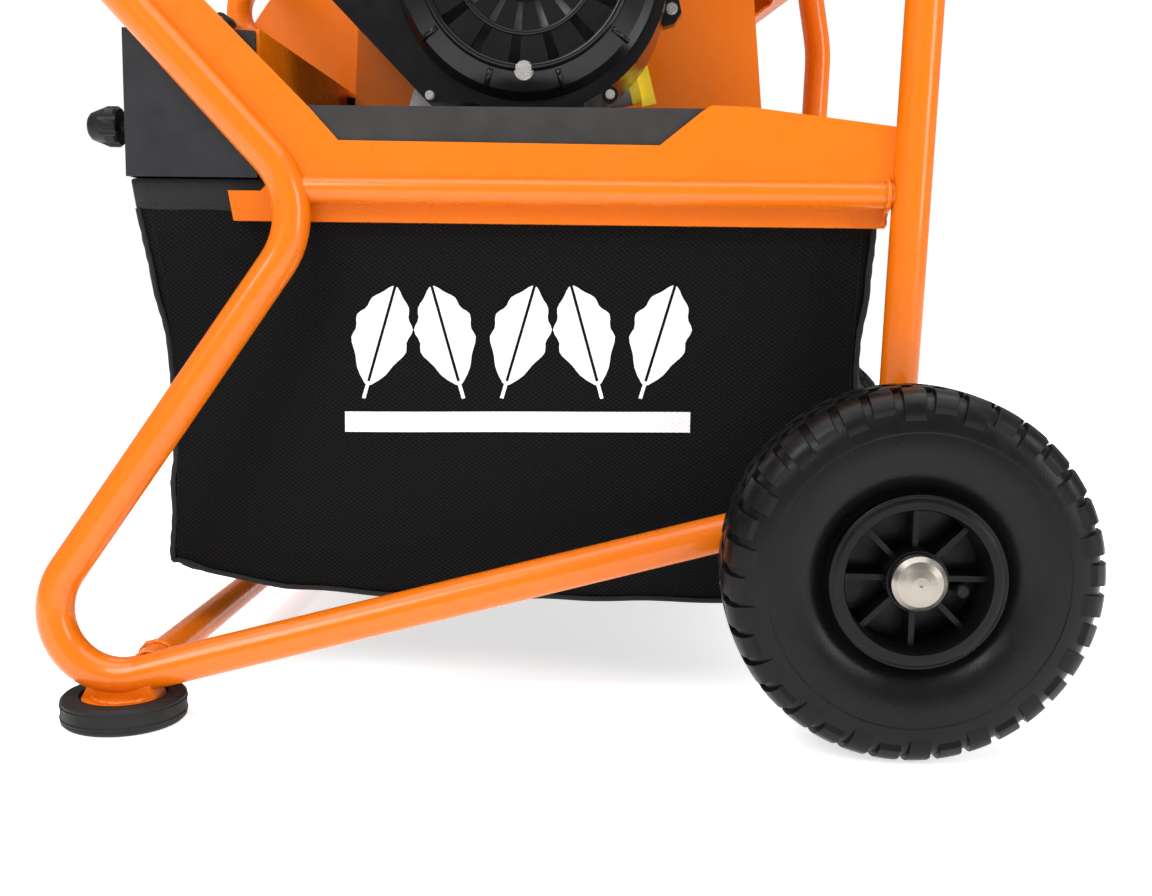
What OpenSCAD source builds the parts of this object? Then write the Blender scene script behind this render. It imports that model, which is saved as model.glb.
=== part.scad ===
// Leaf vacuum mulcher on two wheels and two feet. A petrol engine drives a fan that blows
// mulched leaves through a hinged hood into a cloth bag under the deck.
// +X runs from the handle end to the wheel end, +Y to the fan side, +Z up. The origin is on
// the ground at the middle of the machine's outline.

/* [Wheels] */
// Radius of the tyre, and the height of the axle above the ground
tyre_r = 130; // [128:1:132]
// Width of the tyre
tyre_w = 85; // [80:1:88]
// Distance from the middle of the machine to the middle of each wheel
wheel_y = 345.5; // [344:0.5:350]
// Place of the axle along the machine
axle_x = 267; // [266:1:268]

/* [Frame] */
// Outside radius of the side frame tube
tube_r = 14; // [13:0.5:14.5]
// Wall of the frame tubes
tube_wall = 2; // [1.5:0.5:3]
// Distance from the middle of the machine to the plane of each side frame
side_y = 273.5; // [273:0.5:275]
// How far the foot end of each side frame leans outwards
foot_splay = 62; // [55:1:66]
// Height of the top run of the side frames
top_z = 880; // [870:5:900]
// Thickness of the orange side plates
plate_t = 3; // [2:0.5:3]

/* [Feet] */
// Radius of the round rubber foot
pad_r = 45; // [40:1:48]
// Height of the round rubber foot
pad_h = 19.5; // [18:0.5:20]

/* [Deck and hood] */
// Height of the deck's top face
deck_z = 454; // [453:1:455]
// Thickness of the deck sheet
deck_t = 3; // [2:0.5:4]
// Wall of the hood sheet
hood_t = 2; // [1.5:0.5:2.5]
// Height of the hood's lower edge
hood_z0 = 402.2; // [402.2:0.2:403]
// Height of the hood's top face
hood_z1 = 512; // [511:1:513]
// Half of the hood's width
hood_y = 253.5; // [253:0.5:255]

/* [Bag] */
// Half of the bag's width
bag_y = 247.6; // [246:0.2:247.6]
// Wall of the bag's plain stand-in solid
bag_t = 2.5; // [2:0.5:4]

/* [Engine] */
// Place of the crankshaft along the machine
shaft_x = -14; // [-15:1:-13]
// Height of the crankshaft above the ground
shaft_z = 568; // [567:1:569]
// Radius of the crankshaft journals
shaft_r = 9.5; // [9:0.5:9.5]
// Radius of the blower housing round the flywheel
blower_r = 110; // [108:1:111]
// Slope of the cylinder above the horizontal, in degrees
cylinder_slope = 25; // [24:1:26]

/* [Fan] */
// Radius of the impeller
impeller_r = 118; // [110:1:120]
// Number of impeller blades
blade_count = 6; // [4:1:8]
// Outside radius of the intake collar
collar_r = 80; // [76:1:80]
// Length of the intake collar
collar_len = 60; // [50:5:70]

/* [Hidden] */

orange = [0.95, 0.42, 0.05];
black = [0.06, 0.06, 0.07];
steel = [0.75, 0.75, 0.77];
cast = [0.45, 0.46, 0.48];

// Running clearance round a shaft or pin
fit = 0.05;

// Corner points of a side frame's bent tube, from the axle end round by the foot to the top
base_end = [axle_x, side_y, 172.5];
foot_corner = [-414, side_y + foot_splay, 2.3];
knee = [-165, side_y, 379];
shoulder = [-394, side_y, 626];
top_corner = [-181, side_y, top_z];
splice = [150, side_y, top_z];
loop_path = [base_end, foot_corner, knee, shoulder, top_corner, splice];
loop_bends = [0, 50, 65, 40, 70, 0];

// Corner points of a wheel upright, from its foot to the splice in the top run
upright_path = [
    [axle_x + 1, side_y, 112], [axle_x + 12, side_y, 588], [axle_x - 40, side_y, top_z], splice
];
upright_bends = [0, 150, 60, 0];

foot_x = -300.5;
foot_y = side_y + 51.5;
rail_z = 393;
rail_tube_r = 10;
rail_tube_y = side_y - 4.1;
web_y = side_y - tube_r - 2.6;
lid_z = 402;
bulkhead_x = -214;
hinge_x = -241;
hinge_z = 518;
hinge_r = 3;
latch_y = 233.5;
latch_z = 441;
fan_y0 = 60;
fan_y1 = 185;
eye_r = 80;
scroll_r0 = 125;
scroll_r1 = 152;
scroll_start = 215;
scroll_end = -90;
intake_slope = 36.87;
duct_half = 95;
duct_t = 2.5;
duct_y1 = 256;
recoil_y = -225;
recoil_r = 102;
rope_r = 2;
rope_x = shaft_x - 45;
rope_y = -208;
post_r = 8;
tank_z = 700;
filler = [66.4, -50, 497.4];

function unit(v) = v / norm(v);
function turn_at(p, i) = acos(unit(p[i] - p[i - 1]) * unit(p[i + 1] - p[i]));
function cut_back(p, bends, i) =
    (i == 0 || i == len(p) - 1) ? 0 : bends[i] * tan(turn_at(p, i) / 2);
function polar(r, a) = [r * cos(a), r * sin(a)];

// Moves a shape into the frame with origin o and axes x and y
module in_frame(o, x, y) {
    z = cross(x, y);
    multmatrix([
        [x[0], y[0], z[0], o[0]],
        [x[1], y[1], z[1], o[1]],
        [x[2], y[2], z[2], o[2]],
        [0, 0, 0, 1]
    ]) children();
}

// Turns +Z to the direction d at the point p
module along(p, d) {
    translate(p)
        rotate([0, acos(d[2] / norm(d)), atan2(d[1], d[0])])
            children();
}

module rod(a, b, r, bore = 0) {
    along(a, b - a)
        difference() {
            cylinder(h = norm(b - a), r = r, $fn = 48);
            if (bore > 0)
                translate([0, 0, -1])
                    cylinder(h = norm(b - a) + 2, r = bore, $fn = 48);
        }
}

// A round bar through the points p, bent at each corner with the radius given in bends.
// Each straight runs 1 mm into its bends, and a bend is 0.05 mm fatter than the straights.
// The bar's two ends can be lengthened by over.
module bent_bar(p, bends, r, over = 0) {
    last = len(p) - 1;
    for (i = [0 : last - 1]) {
        d = unit(p[i + 1] - p[i]);
        a = p[i] + d * (i == 0 ? -over : cut_back(p, bends, i) - 1);
        b = p[i + 1] - d * (i == last - 1 ? -over : cut_back(p, bends, i + 1) - 1);
        rod(a, b, r);
    }
    for (i = [1 : last - 1]) {
        a = unit(p[i] - p[i - 1]);
        b = unit(p[i + 1] - p[i]);
        inward = unit(b - (a * b) * a);
        start = p[i] - a * cut_back(p, bends, i);
        in_frame(start + inward * bends[i], -inward, a)
            rotate_extrude(angle = turn_at(p, i), $fn = 96)
                translate([bends[i], 0])
                    circle(r = r + 0.05, $fn = 48);
    }
}

// The same bar with a bore, which makes it a tube
module bent_tube(p, bends, r, bore) {
    difference() {
        bent_bar(p, bends, r);
        bent_bar(p, bends, bore, 1);
    }
}

module ring(r, bore = 0) {
    difference() {
        circle(r = r, $fn = 48);
        if (bore > 0)
            circle(r = bore, $fn = 48);
    }
}

// Extrudes an outline drawn in X and Z along Y, from y0 to y1
module slab(y0, y1) {
    translate([0, y1, 0])
        rotate([90, 0, 0])
            linear_extrude(y1 - y0)
                children();
}

// A disc or tube with its axis along Y
module disc(x, z, y0, y1, r, bore = 0) {
    slab(y0, y1)
        translate([x, z])
            ring(r, bore);
}

module box(lo, hi) {
    translate(lo)
        cube(hi - lo);
}

module both_sides() {
    children();
    mirror([0, 1, 0])
        children();
}

// Hexagon head with a washer face, head top at length h along d
module hex_bolt(p, d, across, h) {
    along(p, d) {
        cylinder(h = 1.5, r = across * 0.62, $fn = 32);
        translate([0, 0, 1.5])
            cylinder(h = h - 1.5, r = across / 2 / cos(30), $fn = 6);
    }
}

// ---------- Frame ----------

module loop_solid() { bent_bar(loop_path, loop_bends, tube_r); }
module upright_solid() { bent_bar(upright_path, upright_bends, tube_r); }

module side_loop() {
    difference() {
        bent_tube(loop_path, loop_bends, tube_r, tube_r - tube_wall);
        rod(upright_path[0], upright_path[1], tube_r);
    }
}

module loop_tube_right() { color(orange) mirror([0, 1, 0]) side_loop(); }
module loop_tube_left() { color(orange) side_loop(); }

module uprights() {
    color(orange)
        both_sides()
            difference() {
                bent_tube(upright_path, upright_bends, tube_r, tube_r - tube_wall);
                disc(axle_x, tyre_r, side_y - 20, side_y + 20, 10);
            }
}

// Tube between the two feet, with the plate and stub that carry each rubber foot
module foot_beam() {
    beam_x = -281.6;
    color(orange)
        difference() {
            union() {
                rod([beam_x, -foot_y, 40], [beam_x, foot_y, 40], 12.5, 10.5);
                both_sides() {
                    translate([foot_x, foot_y, 12])
                        cylinder(h = 5.5, r = 30, $fn = 64);
                    slab(foot_y - 10, foot_y + 10)
                        polygon([
                            [foot_x - 28, 17.5], [foot_x + 28, 17.5],
                            [foot_x + 20, 34], [foot_x - 20, 34]
                        ]);
                }
            }
            both_sides() loop_solid();
        }
}

module foot_pads() {
    color(black)
        both_sides()
            translate([foot_x, foot_y, 0])
                rotate_extrude($fn = 96)
                    polygon([
                        [0, 0], [pad_r - 2, 0], [pad_r, 2], [pad_r, pad_h - 2],
                        [pad_r - 2, pad_h], [32, pad_h], [30.5, 12], [0, 12]
                    ]);
}

// Tube across the shoulders of the side frames, which lifts the foot end for wheeling
module handle_tube() {
    color(orange)
        difference() {
            rod(handle_point(-1), handle_point(1), tube_r, tube_r - tube_wall);
            both_sides() loop_solid();
        }
}
function handle_point(side) = [
    shoulder[0] + 58 / tan(50), side * side_y, shoulder[2] + 58
];

module handle_grip() {
    color(black)
        rod(handle_point(-0.62), handle_point(0.62), tube_r + 4.5, tube_r);
}

module top_cross_tube() {
    color(orange)
        difference() {
            rod([110, -side_y, top_z], [110, side_y, top_z], tube_r, tube_r - tube_wall);
            both_sides() loop_solid();
        }
}

// Outline shared by both side plates: the strip up the sloping tube and the wheel end
strip_edge = [[-349, 578], [-299, 581], [-168, 451]];
wheel_end = [[127.5, 456], [155.5, 455], [axle_x - 5, 442], [axle_x - 5, 402]];

module side_plate(outline) {
    difference() {
        slab(side_y - plate_t, side_y)
            polygon(outline);
        loop_solid();
        upright_solid();
        rod([-180, rail_tube_y, rail_z], [axle_x, rail_tube_y, rail_z], rail_tube_r);
    }
}

module side_plate_right() {
    notch = [[-147.5, 428.5], [90, 427], [121, 452]];
    color(orange)
        mirror([0, 1, 0])
            side_plate(concat([[-168, 402], [-182, 397]], strip_edge, notch, wheel_end));
}

// The fan side's plate has no notch and stands taller, as a guard beside the fan
module side_plate_left() {
    guard = [[-372, 602], [-345, 640], [-300, 652], [60, 652], [100, 620], [104, 456]];
    color(orange)
        side_plate(concat([[-168, 402], [-182, 397]], guard, wheel_end));
}

module rail_tubes() {
    color(orange)
        both_sides()
            difference() {
                rod([-180, rail_tube_y, rail_z], [axle_x, rail_tube_y, rail_z],
                    rail_tube_r, rail_tube_r - 1.5);
                loop_solid();
                upright_solid();
            }
}

// Angle rails that the bag's runners slide on
module bag_rails() {
    web = [
        [-235, 392], [-231, 369.5], [259, 369.5], [259, 392],
        [-180, 392], [-185, 400.5], [-202, 400.5], [-210, 392]
    ];
    color(orange)
        both_sides() {
            slab(web_y, web_y + 2.5)
                polygon(web);
            box([-231, web_y - 8.9, 369.5], [259, web_y, 372]);
        }
}

module deck() {
    flange_y = side_y - plate_t - 0.2;
    color(black)
        difference() {
            union() {
                box([bulkhead_x + 3, -flange_y, deck_z - deck_t], [152, 54, deck_z]);
                box([bulkhead_x + 45, -flange_y, 424], [152, 2.5 - flange_y, deck_z]);
            }
            for (x = [-112, 60], y = [-55, 25])
                translate([x, y, deck_z - 5])
                    cylinder(h = 6, r = 4.2, $fn = 32);
        }
}

// Sheet that closes the top of the bag, with the bulkhead that carries the hood's hinge
module bag_lid() {
    color(orange)
        difference() {
            union() {
                box([bulkhead_x, -246, lid_z], [252, 246, lid_z + 2]);
                both_sides()
                    box([bulkhead_x, 244, lid_z], [140, 246, deck_z - deck_t - 0.5]);
                box([bulkhead_x, -250, lid_z + 2], [bulkhead_x + 2.5, 250, hood_z1]);
                box([hinge_x + 2, -250, hood_z1 - 2.5], [bulkhead_x, 250, hood_z1]);
                for (y = [-229, -10, 209]) {
                    disc(hinge_x, hinge_z, y, y + 20, 6);
                    box([hinge_x + 2, y, hood_z1 - 1], [hinge_x + 7, y + 20, hinge_z]);
                }
                both_sides() {
                    box([-308.5, 246.5, 412], [bulkhead_x, 249.5, 432]);
                    box([-309, 226, 412], [-306, 249.5, 432]);
                }
            }
            rod([hinge_x, -260, hinge_z], [hinge_x, 260, hinge_z], hinge_r);
            box([bulkhead_x - 1, fan_y0, 408], [bulkhead_x + 3, fan_y1, 505]);
        }
}

module hinge_pin() {
    color(steel)
        rod([hinge_x, -252, hinge_z], [hinge_x, 252, hinge_z], hinge_r);
}

// ---------- Hood and its latches ----------

module hood() {
    wall = [
        [-315, hood_z0], [bulkhead_x, hood_z0], [bulkhead_x, hood_z1 - 2],
        [hinge_x - 2, hood_z1], [-315, hood_z1]
    ];
    color(black)
        difference() {
            union() {
                both_sides()
                    slab(hood_y - hood_t, hood_y)
                        polygon(wall);
                box([-315, -hood_y, hood_z0], [-315 + hood_t, hood_y, hood_z1]);
                box([-315, -hood_y, hood_z1 - hood_t], [hinge_x - 2, hood_y, hood_z1]);
                for (y = [-250, -31, 230]) {
                    disc(hinge_x, hinge_z, y, y + 20, 6);
                    box([hinge_x - 7, y, hood_z1 - 1], [hinge_x - 2, y + 20, hinge_z]);
                }
            }
            rod([hinge_x, -260, hinge_z], [hinge_x, 260, hinge_z], hinge_r + fit);
            for (side = [-1, 1])
                rod([-320, side * latch_y, latch_z], [-310, side * latch_y, latch_z], 4 + fit);
        }
}

// Lobed knob on a spindle with a tongue that turns behind a keeper on the bag lid
module latch() {
    color(black)
        difference() {
            translate([-325, latch_y, latch_z])
                rotate([0, -90, 0])
                    rotate_extrude($fn = 64)
                        polygon([
                            [0, 0], [14, 0], [15.5, 2], [15.5, 9],
                            [10.5, 22], [8, 24], [0, 24]
                        ]);
            for (a = [0 : 45 : 359])
                translate([-352, latch_y, latch_z])
                    rotate([a + 22.5, 0, 0])
                        translate([0, 0, 17.5])
                            rotate([0, 90, 0])
                                cylinder(h = 30, r = 4, $fn = 24);
        }
    color(steel) {
        rod([-325, latch_y, latch_z], [-300, latch_y, latch_z], 4);
        box([-304, latch_y - 22, latch_z - 6], [-301, latch_y + 6, latch_z + 6]);
        rod([-317.5, latch_y, latch_z], [-315.3, latch_y, latch_z], 8);
    }
}
module latch_left() { latch(); }
module latch_right() { mirror([0, 1, 0]) latch(); }

// ---------- Bag ----------

// Outline of the bag from the side, each wall moved in by t
function bag_outline(t, top) = [
    [-317 + t, top], [-303 + t, 320], [-296 + t, 230], [-296 + t, 190], [-300 + t, 103],
    [-293 + t, 92 + t], [-217, 80 + t], [-134, 75 + t], [254 - t, 75 + t], [254 - t, 256],
    [257 - t, 346], [259 - t, top]
];

module bag() {
    color(black)
        difference() {
            union() {
                slab(-bag_y, bag_y)
                    polygon(bag_outline(0, 401.6));
                box([-330, -70, 290], [-299, 70, 320]);
            }
            slab(-bag_y + bag_t, bag_y - bag_t)
                polygon(bag_outline(bag_t, 403));
            box([-327, -62, 289], [-303.5, 62, 321]);
        }
}

// Wire ring inside the bag's top hem and the two runners that slide on the rails
module bag_frame() {
    x0 = -306;
    x1 = 251;
    y1 = bag_y - bag_t - 4.2;
    hem = [
        [0, -y1, 394], [x0, -y1, 394], [x0, y1, 394],
        [x1, y1, 394], [x1, -y1, 394], [0, -y1, 394]
    ];
    color(steel) {
        bent_bar(hem, [0, 20, 20, 20, 20, 0], 4);
        both_sides()
            box([-222, bag_y, 372.1], [250, bag_y + 8.5, 375.1]);
    }
}

// ---------- Wheels ----------

module axle() {
    color(steel)
        rod([axle_x, -wheel_y - 44, tyre_r], [axle_x, wheel_y + 44, tyre_r], 10);
}

module hub_caps() {
    color(steel)
        both_sides()
            translate([axle_x, wheel_y + 39.5, tyre_r])
                rotate([-90, 0, 0])
                    rotate_extrude($fn = 96)
                        polygon([
                            [10, 0], [19.7, 0], [19.7, 2], [18.6, 4.5], [15.5, 7.4],
                            [11, 9.3], [5.5, 10.3], [0, 10.6], [0, 4.6], [10, 4.6]
                        ]);
}

// Half outline of the tyre's outside: radius against distance from the wheel's middle
tyre_half = [
    [tyre_r, 0], [tyre_r - 0.4, 20], [tyre_r - 2, 30], [tyre_r - 6, 37],
    [tyre_r - 14, tyre_w / 2 - 1], [tyre_r - 26, tyre_w / 2], [tyre_r - 42, tyre_w / 2 - 1.5],
    [70, tyre_w / 2 - 5], [61, tyre_w / 2 - 8], [56.5, 32]
];
tyre_hollow = [[115, 0], [115, 22], [108, 31], [96, 35], [80, 33], [68, 28], [58, 24]];

function mirrored(half) = concat(half, [for (i = [len(half) - 1 : -1 : 0]) [half[i][0], -half[i][1]]]);

module about_wheel(side) {
    translate([axle_x, side * wheel_y, tyre_r])
        rotate([-90 * side, 0, 0])
            children();
}

module tyre(side) {
    color(black)
        about_wheel(side)
            rotate_extrude($fn = 128)
                difference() {
                    polygon(mirrored(tyre_half));
                    polygon(mirrored(concat(tyre_hollow, [[50, 24]])));
                }
}
module tyre_right() { tyre(-1); }
module tyre_left() { tyre(1); }

// Plastic rim: barrel with two flanges, middle disc, hub and eight ribs on each side
module rim(side) {
    color(black)
        about_wheel(side)
            difference() {
                union() {
                    rotate_extrude($fn = 96)
                        polygon(mirrored([
                            [56.4, 0], [56.4, 32.1], [58.2, 33.6], [59, 41], [55, 42.5],
                            [50, 42.5], [49, 40], [47.5, 8], [47.5, 0]
                        ]));
                    translate([0, 0, -3])
                        cylinder(h = 6, r = 49, $fn = 96);
                    translate([0, 0, -57])
                        cylinder(h = 95, r = 21, $fn = 96);
                    for (a = [0 : 45 : 359])
                        rotate([0, 0, a])
                            translate([18, -2, -26])
                                cube([31, 4, 52]);
                }
                translate([0, 0, -58])
                    cylinder(h = 97, r = 13, $fn = 96);
            }
}
module rim_right() { rim(-1); }
module rim_left() { rim(1); }

module hub_bushes(side) {
    color(steel)
        about_wheel(side)
            for (z = [-56.5, 17.5])
                translate([0, 0, z])
                    rotate_extrude($fn = 96)
                        polygon([[10 + fit, 0], [13, 0], [13, 20], [10 + fit, 20]]);
}
module hub_bushes_right() { hub_bushes(-1); }
module hub_bushes_left() { hub_bushes(1); }

module inner_tube(side) {
    color(black)
        about_wheel(side)
            rotate_extrude($fn = 96)
                difference() {
                    polygon(mirrored([
                        [113, 0], [113, 21], [106, 29], [95, 33], [80, 31],
                        [69, 26], [60, 20], [57, 10], [56.6, 0]
                    ]));
                    polygon(mirrored([
                        [111, 0], [111, 20], [105, 27], [95, 31], [81, 29],
                        [70, 24], [62, 18], [59, 9], [58.6, 0]
                    ]));
                }
}
module inner_tube_right() { inner_tube(-1); }
module inner_tube_left() { inner_tube(1); }

// ---------- Engine ----------

// Direction of the oil filler's neck
filler_dir = unit(filler - [20, -50, 485]);

// Puts a shape on the cylinder's axis: local Z runs from the crankshaft out to the head
module on_cylinder() {
    translate([shaft_x, -5, shaft_z])
        rotate([0, -90 + cylinder_slope, 0])
            children();
}

module block(w, d, z0, z1) {
    translate([-w / 2, -d / 2, z0])
        cube([w, d, z1 - z0]);
}

module crankcase() {
    color(cast)
        difference() {
            union() {
                disc(shaft_x, shaft_z, -90, 56.8, 75);
                box([-140, -70, deck_z], [75, 42, deck_z + 12]);
                slab(-43, -37)
                    polygon([[-138, 465], [-80, 465], [-80, 530], [-128, 500]]);
                box([-85, -60, deck_z + 10], [50, 35, 530]);
                box([-70, -70, 600], [45, 40, 660]);
                on_cylinder() {
                    block(92, 92, 50, 149.8);
                    for (z = [84 : 9 : 147])
                        block(112, 112, z, z + 3);
                }
                rod([20, -50, 485], filler, 13);
            }
            disc(shaft_x, shaft_z, -62, 32, 52);
            disc(shaft_x, shaft_z, -91, 58, shaft_r + fit);
            on_cylinder()
                cylinder(h = 200, r = 34, $fn = 64);
            rod([20, -50, 485], filler + filler_dir, 9);
            for (x = [-112, 60], y = [-55, 25])
                translate([x, y, deck_z - 1])
                    cylinder(h = 14, r = 4.2, $fn = 32);
        }
}

module cylinder_head() {
    color(cast)
        on_cylinder()
            difference() {
                union() {
                    block(90, 92, 150, 184);
                    for (z = [150 : 9 : 178])
                        block(114, 112, z, z + 3.5);
                }
                translate([0, 0, 149])
                    cylinder(h = 9, r = 34, $fn = 64);
            }
}

module valve_cover() {
    color(black)
        on_cylinder()
            difference() {
                union() {
                    block(84, 88, 184.2, 188);
                    block(74, 78, 188, 212);
                }
                block(70, 74, 183, 209);
            }
}

// Side outline of the blower housing, moved in by t: round the flywheel, with the duct
// that leads air up to the sloping cylinder
module blower_outline(t) {
    difference() {
        union() {
            translate([shaft_x, shaft_z])
                circle(r = blower_r - t, $fn = 96);
            polygon([
                [-93 + t / 2, 467 + t], [-170 + t, 546 + t / 2], [-172 + t, 572], [-165 + t, 594],
                [-152 + t, 666 - t], [shaft_x, shaft_z + blower_r - t], [73 - t, 499.5 + t / 2],
                [31 - t / 2, 467 + t]
            ]);
        }
        translate([-300, 300])
            square([600, 167 + t]);
    }
}

module blower_housing() {
    color(black) {
        difference() {
            slab(-194.5, -93)
                blower_outline(0);
            slab(-192, -92)
                blower_outline(2.5);
            disc(shaft_x, shaft_z, -196, -190, 86);
            rod([-180, -140, 605], [-150, -140, 607], 5);
        }
        box([-96, -120, 664], [-66, -117, 694]);
        rod([-81, -124.5, 686], [-81, -117, 686], 3);
        disc(-126, 622, -201, -193, 5);
        disc(52, 474, -194.5, -186, 6.5);
        slab(-108, -93)
            polygon([[94, 542], [104, 545], [110, 554], [107, 566], [94, 572]]);
    }
}

// Starter cover with radial slots, a post for the pulley and an eyelet for the rope
module recoil_cover() {
    color(black)
        difference() {
            union() {
                disc(shaft_x, shaft_z, -197, -194.7, blower_r - 0.5);
                difference() {
                    translate([shaft_x, recoil_y, shaft_z])
                        rotate([-90, 0, 0])
                            rotate_extrude($fn = 96)
                                polygon([
                                    [0, 0], [82, 0], [96, 5],
                                    [recoil_r, 14], [recoil_r, 30], [0, 30]
                                ]);
                    translate([shaft_x, recoil_y + 2.5, shaft_z])
                        rotate([-90, 0, 0])
                            rotate_extrude($fn = 96)
                                polygon([
                                    [0, 0], [81, 0], [94, 4.5],
                                    [recoil_r - 2.5, 12.5], [recoil_r - 2.5, 40], [0, 40]
                                ]);
                }
                disc(shaft_x, shaft_z, recoil_y + 1, -201, post_r);
                rod([rope_x, rope_y, shaft_z + 82], [rope_x, rope_y, shaft_z + 97], 7);
            }
            disc(shaft_x, shaft_z, -198, -194, 86);
            rod([rope_x, rope_y, shaft_z + 70], [rope_x, rope_y, shaft_z + 99], rope_r + 0.6);
            for (a = [0 : 24 : 359])
                slab(recoil_y - 1, recoil_y + 4)
                    translate([shaft_x, shaft_z])
                        rotate(a)
                            polygon([[30, -2], [76, -4.5], [76, 4.5], [30, 2]]);
        }
}

module starter_pulley() {
    color(cast)
        translate([shaft_x, -216, shaft_z])
            rotate([-90, 0, 0])
                rotate_extrude($fn = 96)
                    polygon([
                        [post_r + fit, 0], [50, 0], [50, 3], [42.7, 5.5], [42.7, 10.5],
                        [50, 13], [50, 15], [post_r + fit, 15]
                    ]);
}

module starter_rope() {
    color("ivory")
        rod([rope_x, rope_y, shaft_z], [rope_x, rope_y, shaft_z + 100], rope_r);
}

// T grip of the recoil starter
module starter_handle() {
    color(black) {
        rod([rope_x, rope_y, shaft_z + 100.1], [rope_x, rope_y, shaft_z + 110], 8);
        translate([rope_x - 42, rope_y, shaft_z + 114])
            rotate([0, 90, 0])
                rotate_extrude($fn = 48)
                    polygon([
                        [0, 0], [7, 0], [10, 3], [9, 24], [11, 42],
                        [9, 60], [10, 81], [7, 84], [0, 84]
                    ]);
    }
}

module crankshaft() {
    color(steel) {
        disc(shaft_x, shaft_z, -180, -40, shaft_r);
        disc(shaft_x, shaft_z, 10, 172, shaft_r);
        for (y = [-40, -2])
            slab(y, y + 12)
                translate([shaft_x - 22, shaft_z - 40])
                    square([44, 66]);
        disc(shaft_x, shaft_z + 20, -30, 0, 12);
    }
}

module flywheel() {
    color(cast) {
        disc(shaft_x, shaft_z, -150, -132, 88, shaft_r);
        disc(shaft_x, shaft_z, -152, -149, 40, shaft_r);
        for (a = [0 : 30 : 359])
            slab(-172, -149)
                translate([shaft_x, shaft_z])
                    rotate(a)
                        translate([48, -1.5])
                            square([38, 3]);
    }
}

module impeller() {
    color(steel)
        difference() {
            union() {
                disc(shaft_x, shaft_z, 66, 69, impeller_r);
                disc(shaft_x, shaft_z, 66, 150, 20);
                for (i = [0 : blade_count - 1])
                    slab(68, 168)
                        translate([shaft_x, shaft_z])
                            rotate(i * 360 / blade_count)
                                polygon([
                                    [16, -1.5], [impeller_r - 1, -1.5],
                                    [impeller_r - 1, 1.5], [16, 1.5]
                                ]);
            }
            disc(shaft_x, shaft_z, 60, 175, shaft_r);
            disc(shaft_x, shaft_z, 150, 170, 24);
        }
}

module mulching_blade() {
    color(steel)
        difference() {
            union() {
                disc(shaft_x, shaft_z, 172, 176, 22);
                for (a = [20, 110])
                    slab(172, 176)
                        translate([shaft_x, shaft_z])
                            rotate(a)
                                polygon([[-74, -9], [66, -13], [74, 9], [-66, 13]]);
            }
            disc(shaft_x, shaft_z, 171, 177, 5);
        }
}

module impeller_bolt() {
    color(steel) {
        hex_bolt([shaft_x, 176, shaft_z], [0, 1, 0], 17, 10);
        disc(shaft_x, shaft_z, 172, 176.5, 5);
    }
}

module fuel_tank() {
    color(black)
        difference() {
            union() {
                box([-100, -100, tank_z], [125, 42, tank_z + 82]);
                translate([30, -30, tank_z + 80])
                    cylinder(h = 12, r = 22, $fn = 64);
                for (x = [-50, 15])
                    box([x, -60, 660.2], [x + 20, 30, tank_z + 1]);
            }
            box([-97, -97, tank_z + 3], [122, 39, tank_z + 79]);
            translate([30, -30, tank_z + 70])
                cylinder(h = 30, r = 19, $fn = 64);
        }
}

module fuel_cap() {
    color(black)
        translate([30, -30, tank_z + 82.3])
            difference() {
                union() {
                    cylinder(h = 17, r = 29, $fn = 96);
                    translate([-26, -4, 16])
                        cube([52, 8, 6]);
                }
                translate([0, 0, -1])
                    cylinder(h = 11.2, r = 22.3, $fn = 64);
            }
}

module carburettor() {
    color(cast) {
        box([-205, -100, 636], [-170, -61.2, 676]);
        box([-172, -85, 642], [-145, -61.2, 668]);
        box([-196, -96, 676], [-174, -66, 690]);
        for (z = [644, 666])
            rod([-196, -108, z], [-196, -100, z], 3);
    }
}

module air_filter() {
    color(black)
        difference() {
            union() {
                box([-232, -150, 690.2], [-118, -62, 702]);
                box([-228, -146, 702], [-122, -66, 775]);
                translate([-175, -106, 775])
                    cylinder(h = 12, r = 13, $fn = 32);
            }
            box([-225, -143, 694], [-125, -69, 772]);
            box([-192, -92, 689], [-178, -70, 695]);
        }
}

module muffler() {
    color(steel)
        difference() {
            union() {
                box([-234, -48, 706], [-120, 42, 786]);
                rod([-145, 0, 698], [-145, 0, 708], 14);
                rod([-250, 10, 760], [-232, 10, 760], 10);
            }
            box([-231, -45, 709], [-123, 39, 783]);
            rod([-145, 0, 697], [-145, 0, 712], 11);
            rod([-252, 10, 760], [-228, 10, 760], 8);
        }
}

module muffler_guard() {
    color(black)
        difference() {
            box([-240, -54, 700], [-114, 48, 792]);
            box([-238.5, -52.5, 699], [-115.5, 46.5, 790.5]);
            rod([-245, 10, 760], [-235, 10, 760], 13);
            for (x = [-226 : 16 : -130])
                box([x, -56, 716], [x + 7, 50, 778]);
            for (x = [-226 : 16 : -130])
                box([x, -40, 788], [x + 7, 34, 794]);
        }
}

module spark_plug() {
    color("white") {
        rod([-178, -61.2, 605], [-178, -92, 605], 5);
        hex_bolt([-178, -61.2, 605], [0, -1, 0], 16, 9);
    }
}

module spark_lead() {
    lead = [[-178, -112, 605], [-178, -140, 605], [-156, -140, 607.5]];
    color(black) {
        difference() {
            rod([-178, -76, 605], [-178, -112, 605], 9);
            rod([-178, -75, 605], [-178, -92, 605], 5);
        }
        bent_bar(lead, [0, 12, 0], 3.5);
    }
}

module lever(x, z, y, arm, angle) {
    difference() {
        slab(y, y + 3)
            translate([x, z])
                rotate(angle)
                    union() {
                        circle(r = 7, $fn = 32);
                        translate([0, -3.5])
                            square([arm, 7]);
                        translate([arm, 0])
                            circle(r = 6, $fn = 32);
                    }
        disc(x, z, y - 1, y + 4, 3 + fit);
    }
}

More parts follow.
